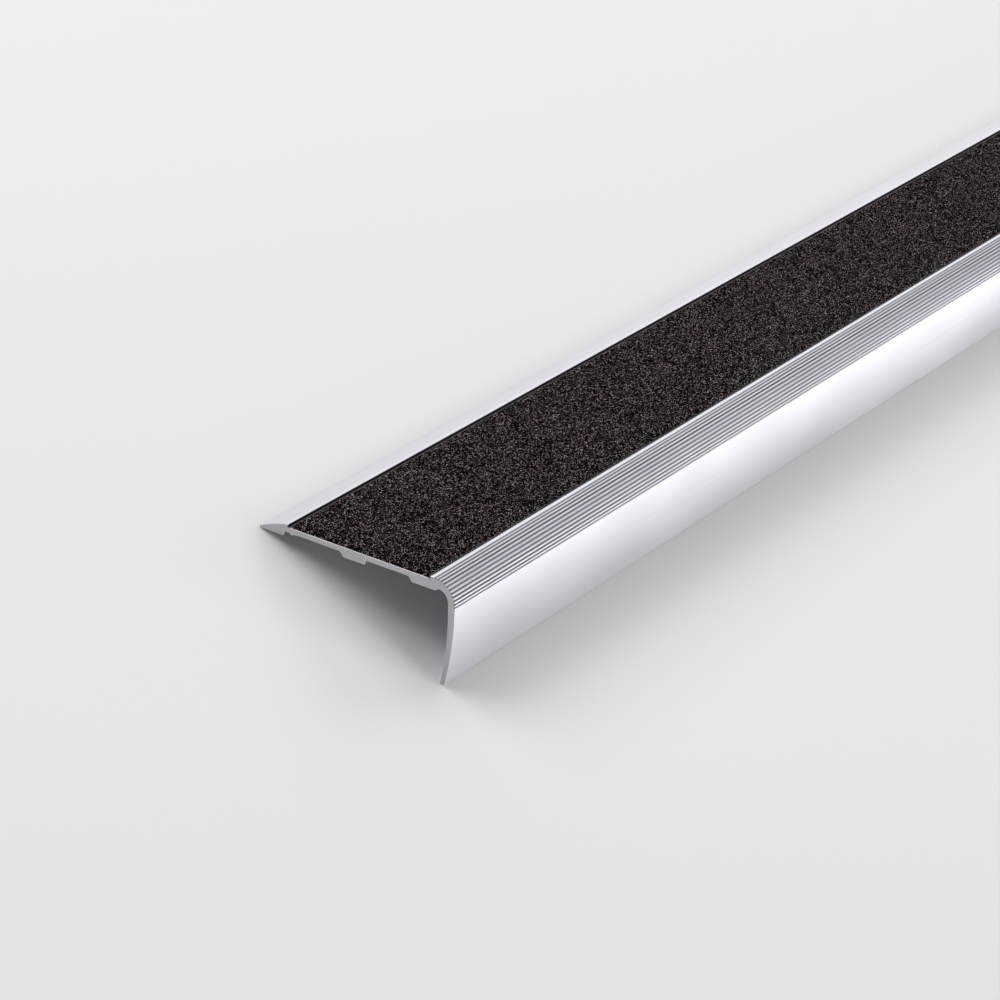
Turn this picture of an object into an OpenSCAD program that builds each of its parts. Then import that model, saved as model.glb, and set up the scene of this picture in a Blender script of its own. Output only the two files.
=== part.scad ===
// Anti-slip stair nosing: an extruded aluminium edge profile with a fluted bullnose, a drop leg,
// three bedding feet and a shallow recess, and the grit strip that is bonded into the recess.
// The section is drawn as it sits on a step. Its points are [y, z]: y runs back from the front of
// the nose, and z runs up from the tread. The cut piece is then tipped forward about its length,
// so that it lies on its two free edges: the tip of the leg and the rear edge of the plate.

/* [Cut piece] */
// Length that the profile and its strip are cut to
profile_l = 1000; // [300:10:3000]

/* [Grit strip] */
// Width of the strip
strip_w = 50; // [25:1:80]
// Thickness of the strip with its grit
strip_t = 0.8; // [0.5:0.05:1.2]
// Clearance between the strip and the front wall of the recess
strip_front_gap = 0.1; // [0.05:0.05:1]
// Gap behind the strip, where the floor of the recess shows
strip_rear_gap = 1.3; // [0.3:0.1:3]

/* [Tread plate] */
// Thickness of the web under the recess
web_t = 1.65; // [1.2:0.05:3]
// Depth of the recess
recess_d = 0.85; // [0.6:0.05:1.5]
// Width from the rear wall of the recess to the rear edge of the plate
wedge_w = 10.9; // [9:0.1:18]
// Flat land on top of the rear rib
rib_land = 0.8; // [0.3:0.1:1.5]
// Radius of the crowned slope behind the rear rib
wedge_r = 60; // [30:1:200]
// Thickness of the rear edge
wedge_edge_t = 0.65; // [0.4:0.05:1.2]

/* [Feet] */
// Height of the feet under the web
foot_h = 1.5; // [0.9:0.1:2.5]
// Run of the slanted flanks of the feet
foot_flank = 1; // [0.3:0.1:2]
// Width of the front foot's flat underside
front_foot_w = 8.4; // [5:0.1:12]
// Width of the middle foot's flat underside
mid_foot_w = 7.7; // [4:0.1:12]
// Distance of the middle foot behind the middle of the recess
mid_foot_shift = 1.8; // [-5:0.1:5]
// Width of the rear foot's flat underside, from the rear edge
rear_foot_w = 8.8; // [5:0.1:10]
// Width of the keying notch in front of the rear foot
notch_w = 1.8; // [1:0.1:3]
// Height of the bead in front of the notch
bead_h = 0.65; // [0.3:0.05:0.8]
// Run of the bead's long front flank
bead_run = 2.3; // [1:0.1:4]

/* [Nose] */
// Outer radius of the bullnose over its ribs
nose_r = 6.5; // [5:0.1:9]
// Angle that the fluted nose wraps from its top down to the leg
nose_wrap = 102; // [90:1:110]
// Number of grooves
groove_n = 11; // [5:1:14]
// Depth of the grooves
groove_d = 0.45; // [0.2:0.05:0.6]
// Width of the ridge from the first groove to the recess
ridge_w = 1.7; // [1.2:0.1:3]

/* [Leg] */
// Depth of the leg's tip below the tread
leg_drop = 28.7; // [20:0.1:45]
// Backward lean of the leg's face at its top, in degrees
leg_lean = 4.8; // [0:0.1:10]
// Radius of the leg's long sweep, on its outer face
leg_face_r = 110; // [70:1:300]
// Thickness of the leg at the nose
leg_root_t = 2.4; // [1.8:0.05:3.2]
// Thickness of the leg at its tip
leg_tip_t = 1.6; // [1.2:0.05:2.4]

/* [Inner corner] */
// Radius of the relief inside the corner
corner_r = 2.85; // [2:0.05:4]
// Height of the relief above the tread
relief_h = 0.75; // [0.4:0.05:1.2]
// Run from the top of the relief down to the front foot
relief_run = 1.25; // [0.8:0.05:2]

/* [Edge rounding] */
// Radius on the front corner of the leg's tip
tip_front_r = 0.7; // [0.2:0.05:0.7]
// Radius on the back corner of the leg's tip
tip_back_r = 0.35; // [0.1:0.05:0.5]
// Radius left by the die on the corners of the feet
foot_edge_r = 0.25; // [0.1:0.05:0.4]
// Radius on the roof of the keying notch
notch_roof_r = 0.45; // [0.1:0.05:0.6]
// Radius left by the die on the ridge, the rib, the recess and the rear edge
fine_edge_r = 0.12; // [0.05:0.01:0.25]

/* [Hidden] */

aluminium = [0.80, 0.80, 0.83];
grit_black = [0.11, 0.10, 0.11];

// Facets in a long sweep, in a half-round rib and in a rounded corner
sweep_steps = 14;
rib_steps = 8;
corner_steps = 4;

// Angle past upright at which the relief's arc ends towards the front foot
relief_end_a = 10;

// Heights of the recess floor and of the plate's top
floor_z = foot_h + web_t;
top_z = floor_z + recess_d;

// The grooves are spread evenly round the nose. The leg's face starts half a pitch below the last.
nose_c = [nose_r, top_z - nose_r];
groove_pitch_a = nose_wrap / (groove_n - 0.5);
rib_half_w = nose_r * groove_pitch_a * PI / 360;

// Places along the depth of the plate
recess_front_y = nose_c.x + ridge_w;
strip_y = recess_front_y + strip_front_gap;
recess_rear_y = strip_y + strip_w + strip_rear_gap;
rear_y = recess_rear_y + wedge_w;

// Places of the feet, and of the bead and notch that key the rear foot
mid_foot_y = (recess_front_y + recess_rear_y - mid_foot_w) / 2 + mid_foot_shift;
rear_foot_y = rear_y - rear_foot_w;
notch_rear_y = rear_foot_y - foot_flank;
bead_y = notch_rear_y - notch_w;

// Direction at an angle above the +y axis
function along(a) = [cos(a), sin(a)];

// A direction at unit length
function unit(v) = v / norm(v);

// The angle of a direction
function heading(v) = atan2(v.y, v.x);

// A point on the nose, at an angle forward of its top
function on_nose(a, r) = nose_c + r * along(90 + a);

// The sweep angle of a rib after some of its steps: 0 and 180 are the grooves beside it
function rib_sweep(step) = 180 * step / rib_steps;

// Half-round rib number i, from the groove above it through some of its steps
function rib(i, steps) =
    [for (k = [0:steps])
        let (a = rib_sweep(k))
        on_nose((i + (1 - cos(a)) / 2) * groove_pitch_a, nose_r - groove_d * (1 - sin(a)))];

// The leg's sweep: its centre, and its lean at the tip, where the face reaches the drop
leg_top = on_nose(nose_wrap, nose_r);
leg_c = leg_top + leg_face_r * along(leg_lean);
tip_lean = asin((leg_c.y + leg_drop) / leg_face_r);

// A point of the leg at the share s of its sweep, as deep in the wall as the share depth says
function leg_point(s, depth) =
    leg_c - (leg_face_r - depth * (leg_root_t + (leg_tip_t - leg_root_t) * s))
        * along(leg_lean + (tip_lean - leg_lean) * s);

tip_front_y = leg_point(1, 0).x;
tip_back_y = tip_front_y + leg_tip_t / cos(tip_lean);

// The relief inside the corner meets the leg's inner face at its widest
relief_c = [leg_point(0, 1).x + corner_r, relief_h - corner_r];
front_foot_y = relief_c.x + relief_run;

// The crowned slope runs through the rear edge and the back of the rib's land
slope_from = [rear_y, wedge_edge_t];
slope_to = [recess_rear_y + rib_land, top_z];
slope_half = (slope_to - slope_from) / 2;
slope_reach = sqrt(wedge_r * wedge_r - slope_half * slope_half);
slope_c = slope_from + slope_half + slope_reach * unit([-slope_half.y, slope_half.x]);
slope_a = heading(slope_from - slope_c);
slope_turn = heading(slope_to - slope_c) - slope_a;

// A corner [y, z, r] becomes an arc, held within its sides. A plain point [y, z] stays as it is.
function corner_arc(before, p, after, r) =
    let (u = unit(before - p), v = unit(after - p),
         half_a = acos(u * v) / 2,
         run = min(r / tan(half_a), 0.45 * norm(before - p), 0.45 * norm(after - p)),
         fit_r = run * tan(half_a),
         c = p + unit(u + v) * fit_r / sin(half_a),
         from_a = heading(p + u * run - c),
         turn = (heading(p + v * run - c) - from_a + 540) % 360 - 180)
    [for (k = [0:corner_steps]) c + fit_r * along(from_a + turn * k / corner_steps)];

function flat(p) = [p.x, p.y];

function softened(points) =
    [for (i = [0:len(points) - 1])
        let (p = points[i],
             before = points[(i + len(points) - 1) % len(points)],
             after = points[(i + 1) % len(points)])
        each len(p) == 2 ? [p] : corner_arc(flat(before), flat(p), flat(after), p.z)];

// The top of the plate, from the rear edge to the first groove
top_points = [
    [rear_y, wedge_edge_t, fine_edge_r],
    for (k = [1:sweep_steps]) slope_c + wedge_r * along(slope_a + slope_turn * k / sweep_steps),
    [recess_rear_y, top_z, fine_edge_r],
    [recess_rear_y, floor_z, fine_edge_r],
    [recess_front_y, floor_z, fine_edge_r],
    [recess_front_y, top_z, fine_edge_r],
    for (k = [rib_steps / 2:rib_steps - 1])
        let (a = rib_sweep(k))
        [nose_c.x + rib_half_w * (1 + cos(a)), top_z - groove_d * (1 - sin(a))]
];

// The fluted nose. The last half rib is the rounded top edge of the leg's face.
nose_points = [
    for (i = [0:groove_n - 2]) each rib(i, rib_steps - 1),
    each rib(groove_n - 1, rib_steps / 2)
];

// The leg, down its face, round its tip and up its inner face to the relief
leg_points = [
    for (k = [1:sweep_steps - 1]) leg_point(k / sweep_steps, 0),
    [tip_front_y, -leg_drop, tip_front_r],
    [tip_back_y, -leg_drop, tip_back_r],
    for (k = [sweep_steps - 1:-1:0])
        let (p = leg_point(k / sweep_steps, 1))
        if (p.y < relief_c.y) p,
    for (k = [0:sweep_steps]) relief_c + corner_r * along(180 - (90 + relief_end_a) * k / sweep_steps)
];

// The underside, from the front foot to the rear edge
under_points = [
    [front_foot_y, 0, foot_edge_r],
    [front_foot_y + front_foot_w, 0, foot_edge_r],
    [front_foot_y + front_foot_w + foot_flank, foot_h, foot_edge_r],
    [mid_foot_y - foot_flank, foot_h, foot_edge_r],
    [mid_foot_y, 0, foot_edge_r],
    [mid_foot_y + mid_foot_w, 0, foot_edge_r],
    [mid_foot_y + mid_foot_w + foot_flank, foot_h, foot_edge_r],
    [bead_y - bead_run, foot_h, foot_edge_r],
    [bead_y, foot_h - bead_h, foot_edge_r],
    [bead_y, foot_h, notch_roof_r],
    [notch_rear_y, foot_h, notch_roof_r],
    [rear_foot_y, 0, foot_edge_r],
    [rear_y, 0, fine_edge_r]
];

section = softened(concat(top_points, nose_points, leg_points, under_points));

// The tilt at which the leg's tip and the rear edge both touch a level floor
rest_tilt = max([for (p = section) if (p.y < -leg_drop / 2)
    min([for (q = section) if (q.x > rear_foot_y) heading(q - p)])]);

// The section as it lies, to bring it down onto the floor and centre it
lying = [for (p = section) norm(p) * along(heading(p) - rest_tilt)];
lying_low_z = min([for (p = lying) p.y]);
lying_mid_y = (min([for (p = lying) p.x]) + max([for (p = lying) p.x])) / 2;

// A length of stock with the section that is given, lying on the floor
module cut_length()
    translate([0, -lying_mid_y, -lying_low_z])
        rotate([-rest_tilt, 0, 0])
            rotate([90, 0, 90])
                linear_extrude(profile_l, center = true)
                    children();

module nosing_profile()
    color(aluminium)
        cut_length()
            polygon(section);

module grit_strip()
    color(grit_black)
        cut_length()
            translate([strip_y, floor_z])
                square([strip_w, strip_t]);

nosing_profile();
grit_strip();
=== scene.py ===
import math

import bpy
import numpy as np
from mathutils import Matrix, Vector


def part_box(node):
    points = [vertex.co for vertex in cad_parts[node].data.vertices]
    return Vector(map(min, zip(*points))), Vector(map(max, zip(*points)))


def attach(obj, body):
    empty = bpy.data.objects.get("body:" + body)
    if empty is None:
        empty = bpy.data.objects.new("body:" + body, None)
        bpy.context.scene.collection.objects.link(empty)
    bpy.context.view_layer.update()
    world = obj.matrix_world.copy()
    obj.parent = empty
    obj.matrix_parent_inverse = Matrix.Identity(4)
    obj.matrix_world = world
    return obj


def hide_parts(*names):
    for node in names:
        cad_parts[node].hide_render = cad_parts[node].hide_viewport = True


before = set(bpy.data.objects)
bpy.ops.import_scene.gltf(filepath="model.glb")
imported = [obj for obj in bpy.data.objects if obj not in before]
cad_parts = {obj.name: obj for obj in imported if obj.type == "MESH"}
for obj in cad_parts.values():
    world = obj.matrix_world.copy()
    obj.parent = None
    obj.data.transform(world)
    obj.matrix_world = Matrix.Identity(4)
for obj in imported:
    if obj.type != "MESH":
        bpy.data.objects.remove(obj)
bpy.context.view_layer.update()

# Nosing profile: one length of extruded aluminium, anodised in its natural satin silver. The die
# leaves faint lines along every face, and the bullnose has eleven grooves between half-round ribs.
# The stock is sawn square to its length, so its two ends show bare metal and a broken edge.

BROKEN_EDGE = 0.0001
SHARPEST_MITRE = 0.5
CLEAR_OF_STRIP = 0.0003
UNDER_STRIP = 0.0005
PROFILE_SPANS = 10
OUTLINE_STEP = 0.00025
CURVE_BEND = math.radians(10)
ROUNDED_BEND = math.radians(40)
NARROW_FACE = 0.0005
END_FACE_TURN = 0.8
AT_END = 0.00005
SAME_POINT_DIGITS = 6

SHELTER_REACH = 0.0016
SHELTER_RAYS = 25
SHELTER_SPREAD = 0.0003
RAY_LIFT = 0.00001
PARALLEL = 1e-12
STRIP_SHELTER = 0.01
GROOVE_SHELTER = 0.17
CORNER_SHELTER = 0.30

ALUMINIUM = (0.90, 0.886, 0.947, 1)
ALUMINIUM_DARK_LINE = (0.835, 0.825, 0.87, 1)
# Painted shade: a darker colour laid into the grooves, and a near-black one into the recess corner
# behind the strip.
ALUMINIUM_PAINTED_GROOVE_SHADE = (0.25, 0.243, 0.283, 1)
ALUMINIUM_PAINTED_CORNER_SHADE = (0.03, 0.028, 0.034, 1)
ALUMINIUM_ROUGHNESS = (0.36, 0.44)
DIE_LINES_PER_METRE = (6, 4200, 4200)
DIE_LINE_DEPTH = 0.000004

SAWN = (0.62, 0.615, 0.65, 1)
SAWN_DARK = (0.40, 0.395, 0.42, 1)
SAWN_ROUGHNESS = (0.36, 0.50)
SAW_MARKS_PER_METRE = (4000, 2600, 5200)
SAW_MARK_DEPTH = 0.00001

MARK_DETAIL = 3
BLOTCHES_PER_METRE = 35
BLOTCH_DETAIL = 4
MARK_RANGE = (0.3, 0.7)


def end_outline(node):
    """The outline of a straight piece's near end, in order, as (y, z) points in metres."""
    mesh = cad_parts[node].data
    end_x = min(vertex.co.x for vertex in mesh.vertices)
    after = {}
    for face in mesh.polygons:
        corners = [mesh.vertices[i].co for i in face.vertices]
        at_end = [corner.x - end_x < AT_END for corner in corners]
        if all(at_end):
            continue
        for here, there in zip(range(len(corners)), [*range(1, len(corners)), 0]):
            if at_end[here] and at_end[there]:
                a, b = corners[here], corners[there]
                start = (round(a.y, SAME_POINT_DIGITS), round(a.z, SAME_POINT_DIGITS))
                after[start] = (round(b.y, SAME_POINT_DIGITS), round(b.z, SAME_POINT_DIGITS))
    outline = [min(after)]
    while after[outline[-1]] != outline[0]:
        outline.append(after[outline[-1]])
    return np.array(outline)


def unit(vectors):
    """The vectors, each made one unit long."""
    return vectors / np.linalg.norm(vectors, axis=1, keepdims=True)


def squares(outline):
    """A vector square to each edge of an outline, out of the metal and as long as the edge."""
    edges = np.roll(outline, -1, axis=0) - outline
    turn = np.sum(outline[:, 0] * edges[:, 1] - outline[:, 1] * edges[:, 0])
    return np.sign(turn) * np.stack([edges[:, 1], -edges[:, 0]], axis=1)


def inset(outline, depth):
    """The outline moved into the metal by the same depth all round."""
    ahead = unit(squares(outline))
    behind = np.roll(ahead, 1, axis=0)
    agree = np.sum(ahead * behind, axis=1, keepdims=True)
    return outline - depth * (ahead + behind) / np.maximum(1 + agree, SHARPEST_MITRE)


def facings(outline):
    """The way the surface faces at the start and the end of each edge.

    Curves and small radii are rounded, and wide faces meet in a crisp edge.
    """
    square = squares(outline)
    flat = unit(square)
    shared = unit(square + np.roll(square, 1, axis=0))
    agree = np.sum(flat * np.roll(flat, 1, axis=0), axis=1, keepdims=True)
    width = np.linalg.norm(square, axis=1, keepdims=True)
    narrow = np.minimum(width, np.roll(width, 1, axis=0)) < NARROW_FACE
    gentle = (agree > math.cos(CURVE_BEND)) | (agree > math.cos(ROUNDED_BEND)) & narrow
    starts = np.where(gentle, shared, flat)
    ends = np.where(np.roll(gentle, -1, axis=0), np.roll(shared, -1, axis=0), flat)
    return starts, ends


def refined(outline, sawn, starts, ends):
    """Both outlines with points no further apart than one step, and the facings of the shorter edges."""
    points, sawn_points, new_starts, new_ends = [], [], [], []
    following = zip(outline, np.roll(outline, -1, axis=0), sawn, np.roll(sawn, -1, axis=0), starts, ends)
    for here, there, sawn_here, sawn_there, start, end in following:
        count = math.ceil(np.linalg.norm(there - here) / OUTLINE_STEP)
        share = np.linspace(0, 1, count + 1)[:, None]
        facing = unit(start + share * (end - start))
        points.append((here + share * (there - here))[:-1])
        sawn_points.append((sawn_here + share * (sawn_there - sawn_here))[:-1])
        new_starts.append(facing[:-1])
        new_ends.append(facing[1:])
    return [np.concatenate(part) for part in (points, sawn_points, new_starts, new_ends)]


def sheltered(points, outward, walls):
    """How much of the room in front of each point nearby walls take away, from 0 to 1.

    Half of it is spread to the points around, so that the painted shade of a groove reaches the ribs
    beside it.
    """
    origin = points + outward * RAY_LIFT
    total, weight = np.zeros(len(points)), 0
    for angle in np.linspace(-math.pi / 2, math.pi / 2, SHELTER_RAYS + 2)[1:-1]:
        turn = np.array([[math.cos(angle), math.sin(angle)], [-math.sin(angle), math.cos(angle)]])
        ray = outward @ turn
        nearest = np.full(len(points), SHELTER_REACH)
        for wall in walls:
            span = np.roll(wall, -1, axis=0) - wall
            offset = wall[None] - origin[:, None]
            cross = ray[:, None, 0] * span[None, :, 1] - ray[:, None, 1] * span[None, :, 0]
            cross = np.where(np.abs(cross) < PARALLEL, PARALLEL, cross)
            along_ray = (offset[..., 0] * span[None, :, 1] - offset[..., 1] * span[None, :, 0]) / cross
            along_wall = (offset[..., 0] * ray[:, None, 1] - offset[..., 1] * ray[:, None, 0]) / cross
            hit = (along_ray > 0) & (along_wall >= 0) & (along_wall <= 1)
            nearest = np.minimum(nearest, np.where(hit, along_ray, SHELTER_REACH).min(axis=1))
        total += math.cos(angle) * (1 - nearest / SHELTER_REACH)
        weight += math.cos(angle)
    shelter = total / weight
    apart = np.linalg.norm(points[:, None] - points[None], axis=2)
    nearness = np.exp(-(apart / SHELTER_SPREAD) ** 2 / 2)
    around = nearness @ shelter / nearness.sum(axis=1)
    return (shelter + around) / 2


def new_piece(name, points, faces):
    """A mesh object that rides on the part's only body."""
    mesh = bpy.data.meshes.new(name)
    mesh.from_pydata([tuple(p) for p in points], [], faces)
    mesh.validate()
    piece = bpy.data.objects.new(name, mesh)
    bpy.context.scene.collection.objects.link(piece)
    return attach(piece, "root")


def new_material(name):
    """A material, its nodes, its links and its surface shader."""
    material = bpy.data.materials.new(name)
    material.use_nodes = True
    tree = material.node_tree
    return material, tree.nodes, tree.links, tree.nodes["Principled BSDF"]


def ranged(nodes, given, wanted=(0, 1)):
    """A node that turns the given range of a value into the wanted one."""
    node = nodes.new("ShaderNodeMapRange")
    node.inputs["From Min"].default_value, node.inputs["From Max"].default_value = given
    node.inputs["To Min"].default_value, node.inputs["To Max"].default_value = wanted
    return node


def drawn_marks():
    """Fine straight marks that a die or a saw leaves, and slow blotches under them."""
    group = bpy.data.node_groups.new("drawn_marks", "ShaderNodeTree")
    sockets = group.interface
    sockets.new_socket("Marks per metre", in_out="INPUT", socket_type="NodeSocketVector")
    sockets.new_socket("Height", in_out="OUTPUT", socket_type="NodeSocketFloat")
    sockets.new_socket("Blotches", in_out="OUTPUT", socket_type="NodeSocketFloat")
    nodes, links = group.nodes, group.links
    given = nodes.new("NodeGroupInput")
    result = nodes.new("NodeGroupOutput")
    place = nodes.new("ShaderNodeTexCoord")
    stretch = nodes.new("ShaderNodeVectorMath")
    stretch.operation = "MULTIPLY"
    links.new(place.outputs["Object"], stretch.inputs[0])
    links.new(given.outputs["Marks per metre"], stretch.inputs[1])
    marks = nodes.new("ShaderNodeTexNoise")
    marks.inputs["Scale"].default_value = 1
    marks.inputs["Detail"].default_value = MARK_DETAIL
    links.new(stretch.outputs["Vector"], marks.inputs["Vector"])
    links.new(marks.outputs["Fac"], result.inputs["Height"])
    blotches = nodes.new("ShaderNodeTexNoise")
    blotches.inputs["Scale"].default_value = BLOTCHES_PER_METRE
    blotches.inputs["Detail"].default_value = BLOTCH_DETAIL
    links.new(place.outputs["Object"], blotches.inputs["Vector"])
    links.new(blotches.outputs["Fac"], result.inputs["Blotches"])
    return group


def metal(name, marks_group, marks_per_metre, mark_depth, light, dark, roughness):
    """Bare or anodised aluminium with straight marks in its colour, gloss and relief."""
    material, nodes, links, surface = new_material(name)
    surface.inputs["Metallic"].default_value = 1
    marks = nodes.new("ShaderNodeGroup")
    marks.node_tree = marks_group
    marks.inputs["Marks per metre"].default_value = marks_per_metre
    colour = nodes.new("ShaderNodeMix")
    colour.data_type = "RGBA"
    colour.inputs["A"].default_value = dark
    colour.inputs["B"].default_value = light
    shade = ranged(nodes, MARK_RANGE)
    links.new(marks.outputs["Height"], shade.inputs["Value"])
    links.new(shade.outputs["Result"], colour.inputs["Factor"])
    links.new(colour.outputs["Result"], surface.inputs["Base Color"])
    gloss = ranged(nodes, MARK_RANGE, roughness)
    links.new(marks.outputs["Blotches"], gloss.inputs["Value"])
    links.new(gloss.outputs["Result"], surface.inputs["Roughness"])
    relief = nodes.new("ShaderNodeBump")
    relief.inputs["Distance"].default_value = mark_depth
    links.new(marks.outputs["Height"], relief.inputs["Height"])
    links.new(relief.outputs["Normal"], surface.inputs["Normal"])
    return material


def paint_shade(material, attribute, limits, shade_colour):
    """Paints shade into the colour: turns it to a darker one as an attribute of the mesh goes from one
    limit to the other.
    """
    nodes, links = material.node_tree.nodes, material.node_tree.links
    surface = nodes["Principled BSDF"]
    unshaded = surface.inputs["Base Color"].links[0].from_socket
    shelter = nodes.new("ShaderNodeAttribute")
    shelter.attribute_name = attribute
    share = ranged(nodes, limits)
    links.new(shelter.outputs["Fac"], share.inputs["Value"])
    colour = nodes.new("ShaderNodeMix")
    colour.data_type = "RGBA"
    colour.inputs["B"].default_value = shade_colour
    links.new(share.outputs["Result"], colour.inputs["Factor"])
    links.new(unshaded, colour.inputs["A"])
    links.new(colour.outputs["Result"], surface.inputs["Base Color"])


profile_low, profile_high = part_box("nosing_profile")
plain_outline = end_outline("nosing_profile")
strip_outline = end_outline("grit_strip")
section, sawn_section, starts, ends = refined(
    plain_outline, inset(plain_outline, BROKEN_EDGE), *facings(plain_outline))
outward = unit(starts + np.roll(ends, 1, axis=0))
by_itself = sheltered(section, outward, [plain_outline])
with_strip = sheltered(section, outward, [plain_outline, strip_outline])
# Painted shade: the colour is darkened in the grooves and wherever walls close a point off, and the
# recess floor beside the strip darkens further, to near black at its corner.
in_recess = with_strip > by_itself + STRIP_SHELTER
end_painted_shade = np.minimum(by_itself / GROOVE_SHELTER, 1)
painted_shade = np.minimum(with_strip / GROOVE_SHELTER, 1)
painted_shade[in_recess] += np.minimum(by_itself[in_recess] / CORNER_SHELTER, 1)

near_x, far_x = profile_low.x, profile_high.x
at_end = [(0, sawn_section), (BROKEN_EDGE, section), (CLEAR_OF_STRIP, section)]
rings = [(near_x + step, ring, end_painted_shade) for step, ring in at_end]
for x in np.linspace(near_x + UNDER_STRIP, far_x - UNDER_STRIP, PROFILE_SPANS + 1):
    rings.append((x, section, painted_shade))
rings += [(far_x - step, ring, end_painted_shade) for step, ring in reversed(at_end)]

count = len(section)
last = len(rings) - 1
profile_points = [(x, y, z) for x, ring, _ in rings for y, z in ring]
profile_faces = [tuple(reversed(range(count))), tuple(range(last * count, (last + 1) * count))]
to_near_end, to_far_end = (-1, 0, 0), (1, 0, 0)
normals = [to_near_end] * count + [to_far_end] * count
for ring in range(last):
    for i in range(count):
        here, there = ring * count + i, ring * count + (i + 1) % count
        profile_faces.append((here, there, there + count, here + count))
        start, end = (0, *starts[i]), (0, *ends[i])
        normals += [to_near_end] * 2 if ring == 0 else [start, end]
        normals += [to_far_end] * 2 if ring == last - 1 else [end, start]

profile = new_piece("nosing_profile_finish", profile_points, profile_faces)
profile.data.polygons.foreach_set("use_smooth", [True] * len(profile_faces))
profile.data.normals_split_custom_set(normals)
profile.data.attributes.new("painted_shade", "FLOAT", "POINT").data.foreach_set(
    "value", np.concatenate([shade for _, _, shade in rings]))

marks_group = drawn_marks()
anodised = metal(
    "satin_anodised", marks_group, DIE_LINES_PER_METRE, DIE_LINE_DEPTH,
    ALUMINIUM, ALUMINIUM_DARK_LINE, ALUMINIUM_ROUGHNESS)
# Painted shade: grooves darken toward the groove colour, and the recess beside the strip darkens on
# toward near black.
paint_shade(anodised, "painted_shade", (0, 1), ALUMINIUM_PAINTED_GROOVE_SHADE)
paint_shade(anodised, "painted_shade", (1, 2), ALUMINIUM_PAINTED_CORNER_SHADE)
profile.data.materials.append(anodised)
profile.data.materials.append(metal(
    "sawn_end", marks_group, SAW_MARKS_PER_METRE, SAW_MARK_DEPTH,
    SAWN, SAWN_DARK, SAWN_ROUGHNESS))
for face in profile.data.polygons:
    if abs(face.normal.x) > END_FACE_TURN:
        face.material_index = 1
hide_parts("nosing_profile")

# Grit strip: black mineral grit bound on a thin plastic film, cut to 50 mm and bonded with its own
# adhesive to the floor of the recess. It lies close to the ridge of the nose and stops short of the
# rear rib, so a line of bare metal shows behind it.

GRIT_PITCH = 0.00075
GRIT_LOW = 0.65
GRIT_SCATTER = 0.32
RIM_SHARE = 0.9
END_RIM_SHARE = 0.2
END_SETBACK = 0.00025
FRONT_SETBACK = 0.00035
BARE_EDGE = 0.00028
GRIT_SEED = 11

GRAIN_COLOURS = (
    (0.71, (0.0010, 0.0003, 0.0005)), (0.80, (0.023, 0.014, 0.017)),
    (0.915, (0.150, 0.122, 0.129)), (1.0, (0.585, 0.535, 0.55)))
PATCH_BROWN = (1.05, 0.95, 0.98, 1)
PATCH_GREY = (0.97, 0.99, 0.98, 1)
GRAINS_PER_METRE = 4500
GRAIN_ROUGHNESS = (0.55, 0.9)
GRAIN_RELIEF = 0.0002
PATCHES_PER_METRE = 160
PATCH_RANGE = (0.42, 0.58)
FILM_COLOUR = (0.012, 0.010, 0.011, 1)
FILM_EDGE = (0.042, 0.040, 0.042, 1)
FILM_ROUGHNESS = 0.6
WEAR_PER_METRE = 900
WEAR_RANGE = (0.3, 0.55)


def grit_material():
    """Sharp grains of black and grey mineral, each with its own shade and gloss, under dark resin."""
    material, nodes, links, surface = new_material("mineral_grit")
    surface.inputs["Specular IOR Level"].default_value = 0
    place = nodes.new("ShaderNodeTexCoord")
    grains = nodes.new("ShaderNodeTexVoronoi")
    grains.inputs["Scale"].default_value = GRAINS_PER_METRE
    links.new(place.outputs["Object"], grains.inputs["Vector"])
    shade = nodes.new("ShaderNodeSeparateColor")
    links.new(grains.outputs["Color"], shade.inputs["Color"])
    ramp = nodes.new("ShaderNodeValToRGB")
    stops = ramp.color_ramp.elements
    for position, _ in GRAIN_COLOURS[1:-1]:
        stops.new(position)
    for stop, (position, colour) in zip(stops, GRAIN_COLOURS):
        stop.position = position
        stop.color = (*colour, 1)
    links.new(shade.outputs["Red"], ramp.inputs["Fac"])
    patches = nodes.new("ShaderNodeTexNoise")
    patches.inputs["Scale"].default_value = PATCHES_PER_METRE
    links.new(place.outputs["Object"], patches.inputs["Vector"])
    tint = nodes.new("ShaderNodeMix")
    tint.data_type = "RGBA"
    tint.inputs["A"].default_value = PATCH_BROWN
    tint.inputs["B"].default_value = PATCH_GREY
    reach = ranged(nodes, PATCH_RANGE)
    links.new(patches.outputs["Fac"], reach.inputs["Value"])
    links.new(reach.outputs["Result"], tint.inputs["Factor"])
    tinted = nodes.new("ShaderNodeMix")
    tinted.data_type = "RGBA"
    tinted.blend_type = "MULTIPLY"
    tinted.inputs["Factor"].default_value = 1
    links.new(ramp.outputs["Color"], tinted.inputs["A"])
    links.new(tint.outputs["Result"], tinted.inputs["B"])
    links.new(tinted.outputs["Result"], surface.inputs["Base Color"])
    gloss = ranged(nodes, (0, 1), GRAIN_ROUGHNESS)
    links.new(shade.outputs["Green"], gloss.inputs["Value"])
    links.new(gloss.outputs["Result"], surface.inputs["Roughness"])
    relief = nodes.new("ShaderNodeBump")
    relief.inputs["Strength"].default_value = 1
    relief.inputs["Distance"].default_value = GRAIN_RELIEF
    links.new(shade.outputs["Blue"], relief.inputs["Height"])
    links.new(relief.outputs["Normal"], surface.inputs["Normal"])
    return material


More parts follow.
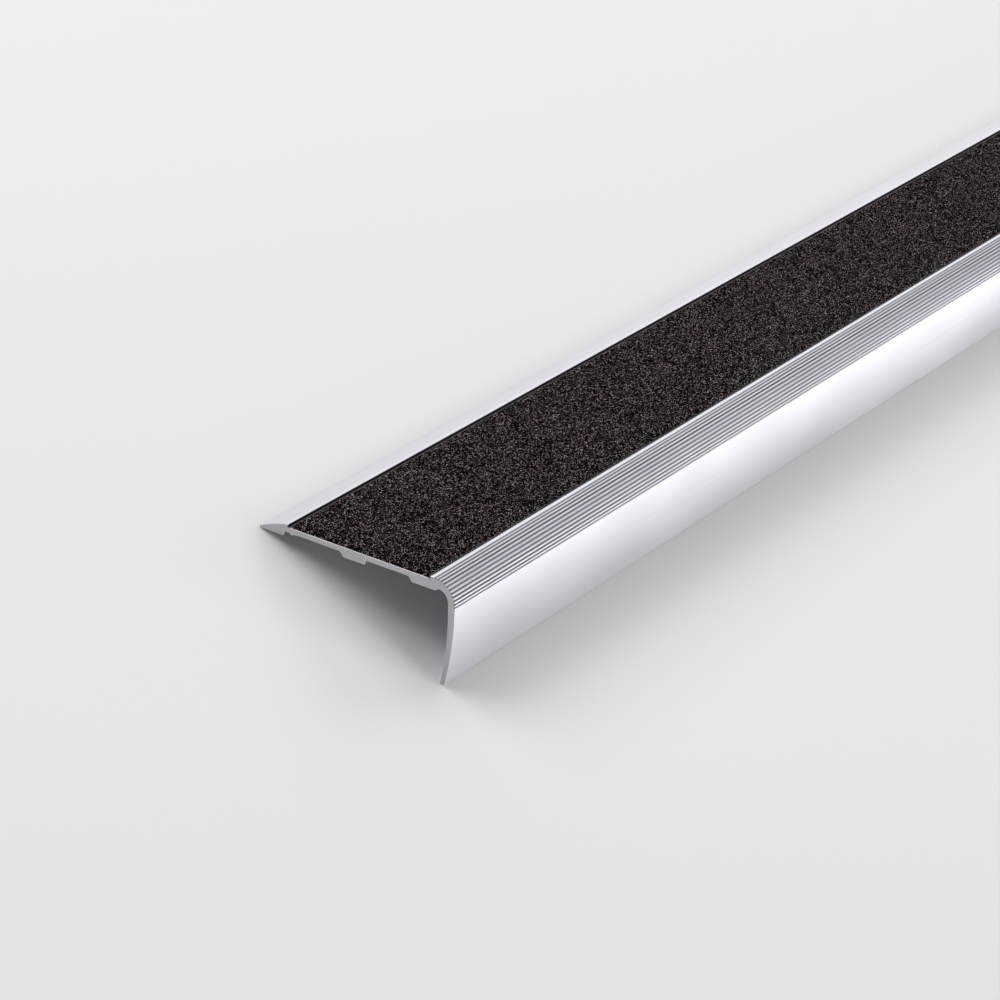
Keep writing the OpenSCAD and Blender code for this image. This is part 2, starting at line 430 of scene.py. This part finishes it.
def film_material():
    """The bare cut edges of the film, where no grain stands on it, greyed by the blade."""
    material, nodes, links, surface = new_material("film_edge")
    place = nodes.new("ShaderNodeTexCoord")
    wear = nodes.new("ShaderNodeTexNoise")
    wear.inputs["Scale"].default_value = WEAR_PER_METRE
    links.new(place.outputs["Object"], wear.inputs["Vector"])
    colour = nodes.new("ShaderNodeMix")
    colour.data_type = "RGBA"
    colour.inputs["A"].default_value = FILM_COLOUR
    colour.inputs["B"].default_value = FILM_EDGE
    reach = ranged(nodes, WEAR_RANGE)
    links.new(wear.outputs["Fac"], reach.inputs["Value"])
    links.new(reach.outputs["Result"], colour.inputs["Factor"])
    links.new(colour.outputs["Result"], surface.inputs["Base Color"])
    surface.inputs["Roughness"].default_value = FILM_ROUGHNESS
    return material


strip_low, strip_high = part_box("grit_strip")
corner = strip_outline[np.argmin(strip_outline[:, 0])]
across = sorted(strip_outline - corner, key=np.linalg.norm)
strip_up, strip_back = across[1], across[2]
full_width = float(np.linalg.norm(strip_back))
front_bottom = corner + strip_back * FRONT_SETBACK / full_width
strip_back = strip_back * (1 - FRONT_SETBACK / full_width)
strip_width = full_width - FRONT_SETBACK
strip_length = strip_high.x - strip_low.x - 2 * END_SETBACK

along_n = round(strip_length / GRIT_PITCH)
back_n = round(strip_width / GRIT_PITCH)
rng = np.random.default_rng(GRIT_SEED)
along, back = np.meshgrid(np.arange(along_n + 1.0), np.arange(back_n + 1.0), indexing="ij")
inner = (slice(1, -1), slice(1, -1))
along[inner] += rng.uniform(-GRIT_SCATTER, GRIT_SCATTER, along[inner].shape)
back[inner] += rng.uniform(-GRIT_SCATTER, GRIT_SCATTER, back[inner].shape)
height = np.full(along.shape, RIM_SHARE)
height[inner] = rng.uniform(GRIT_LOW, 1, height[inner].shape)
height[[0, -1], :] = END_RIM_SHARE

edge_share = BARE_EDGE / strip_width
share = edge_share + (back - 1) / (back_n - 2) * (1 - 2 * edge_share)
for row, place in ((0, 0), (1, edge_share), (-2, 1 - edge_share), (-1, 1)):
    share[:, row] = place
    height[1:-1, row] = RIM_SHARE
share = share[..., None]
top_yz = front_bottom + share * strip_back + height[..., None] * strip_up
top_x = strip_low.x + END_SETBACK + along / along_n * strip_length
top = np.concatenate([top_x[..., None], top_yz], axis=-1).reshape(-1, 3)
number = np.arange(top.shape[0]).reshape(along.shape)
rim = [*number[:-1, 0], *number[-1, :-1], *number[:0:-1, -1], *number[0, :0:-1]]
under = top[rim] - np.insert(height.reshape(-1, 1)[rim] * strip_up, 0, 0, axis=1)

strip_faces = np.stack([number[:-1, :-1], number[1:, :-1], number[1:, 1:], number[:-1, 1:]], axis=-1)
strip_faces = strip_faces.reshape(-1, 4).tolist()
top_faces = len(strip_faces)
first_under = len(top)
strip_faces.append(list(reversed(range(first_under, first_under + len(rim)))))
for i, here in enumerate(rim):
    there = rim[(i + 1) % len(rim)]
    strip_faces.append([there, here, first_under + i, first_under + (i + 1) % len(rim)])

strip = new_piece("grit_strip_finish", np.concatenate([top, under]), strip_faces)
strip.data.materials.append(grit_material())
strip.data.materials.append(film_material())
for face in range(0, top_faces, back_n):
    strip.data.polygons[face].material_index = 1
    strip.data.polygons[face + back_n - 1].material_index = 1
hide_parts("grit_strip")

# Floor and light: a plain pale studio floor and large soft lamps round the piece in a dim even
# room. Four stand behind it and one above its far end, for its top faces to mirror. One stands in
# front, and a long low one at the far front gives the leg and the lower ribs their bright line.

FLOOR_SIZE = 12
FLOOR_COLOUR = (0.83, 0.83, 0.83, 1)
FLOOR_ROUGHNESS = 0.9
FLOOR_GLOSS = 0.2
ROOM_COLOUR = (1.0, 1.0, 1.0, 1)
ROOM_LEVEL = 0.15
LAMP_DISTANCE = 2.2

# Each lamp's name, the direction it stands in, its width, its height and its radiance.
LAMPS = (
    ("lamp_left", (-0.45, 0.65, 0.6), 1.4, 1.0, 5.0),
    ("lamp_over", (0.05, 0.5, 0.85), 1.4, 1.0, 3.1),
    ("lamp_back", (0.6, 0.66, 0.45), 1.4, 1.0, 1.3),
    ("lamp_back_low", (0.66, 0.74, 0.12), 1.6, 0.5, 0.8),
    ("lamp_far_high", (0.685, 0.0, 0.73), 1.2, 1.0, 2.4),
    ("lamp_front", (0.0, -0.85, 0.5), 1.4, 1.0, 4.3),
    ("lamp_front_low", (0.63, -0.77, 0.05), 1.8, 0.22, 12.9),
)


def soft_lamp(name, towards, width, height, radiance):
    """An oblong soft lamp that stands off in one direction and faces the piece."""
    data = bpy.data.lights.new(name, "AREA")
    data.shape = "RECTANGLE"
    data.size = width
    data.size_y = height
    data.energy = radiance * math.pi * width * height
    lamp = bpy.data.objects.new(name, data)
    bpy.context.scene.collection.objects.link(lamp)
    direction = Vector(towards).normalized()
    lamp.location = direction * LAMP_DISTANCE
    lamp.rotation_euler = direction.to_track_quat("Z", "Y").to_euler()


floor_mesh = bpy.data.meshes.new("studio_floor")
half = FLOOR_SIZE / 2
floor_mesh.from_pydata(
    [(-half, -half, 0), (half, -half, 0), (half, half, 0), (-half, half, 0)], [], [(0, 1, 2, 3)])
floor = bpy.data.objects.new("studio_floor", floor_mesh)
bpy.context.scene.collection.objects.link(floor)
floor_material, _, _, floor_surface = new_material("matt_floor")
floor_surface.inputs["Base Color"].default_value = FLOOR_COLOUR
floor_surface.inputs["Roughness"].default_value = FLOOR_ROUGHNESS
floor_surface.inputs["Specular IOR Level"].default_value = FLOOR_GLOSS
floor_mesh.materials.append(floor_material)

room = bpy.data.worlds.new("room")
room.use_nodes = True
room.node_tree.nodes["Background"].inputs["Color"].default_value = ROOM_COLOUR
room.node_tree.nodes["Background"].inputs["Strength"].default_value = ROOM_LEVEL
bpy.context.scene.world = room

for lamp in LAMPS:
    soft_lamp(*lamp)

# Camera: it looks down on the near end and along the piece, as the photo does, turned with the
# piece by the angle at which it lies.

LENS = 106
SENSOR_WIDTH = 36
CAMERA_PLACE = (-1.0158, -0.2846, 0.5529)
CAMERA_TARGET = (-0.45054, -0.00592, 0.02006)
CAMERA_ROLL = math.radians(22.15)

camera = bpy.data.objects.new("camera", bpy.data.cameras.new("camera"))
bpy.context.scene.collection.objects.link(camera)
camera.data.lens = LENS
camera.data.sensor_width = SENSOR_WIDTH
sight = Vector(CAMERA_TARGET) - Vector(CAMERA_PLACE)
turned = sight.to_track_quat("-Z", "Y").to_matrix() @ Matrix.Rotation(CAMERA_ROLL, 3, "Z")
camera.matrix_world = Matrix.Translation(CAMERA_PLACE) @ turned.to_4x4()
bpy.context.scene.camera = camera

bpy.context.scene.view_settings.view_transform = "Standard"
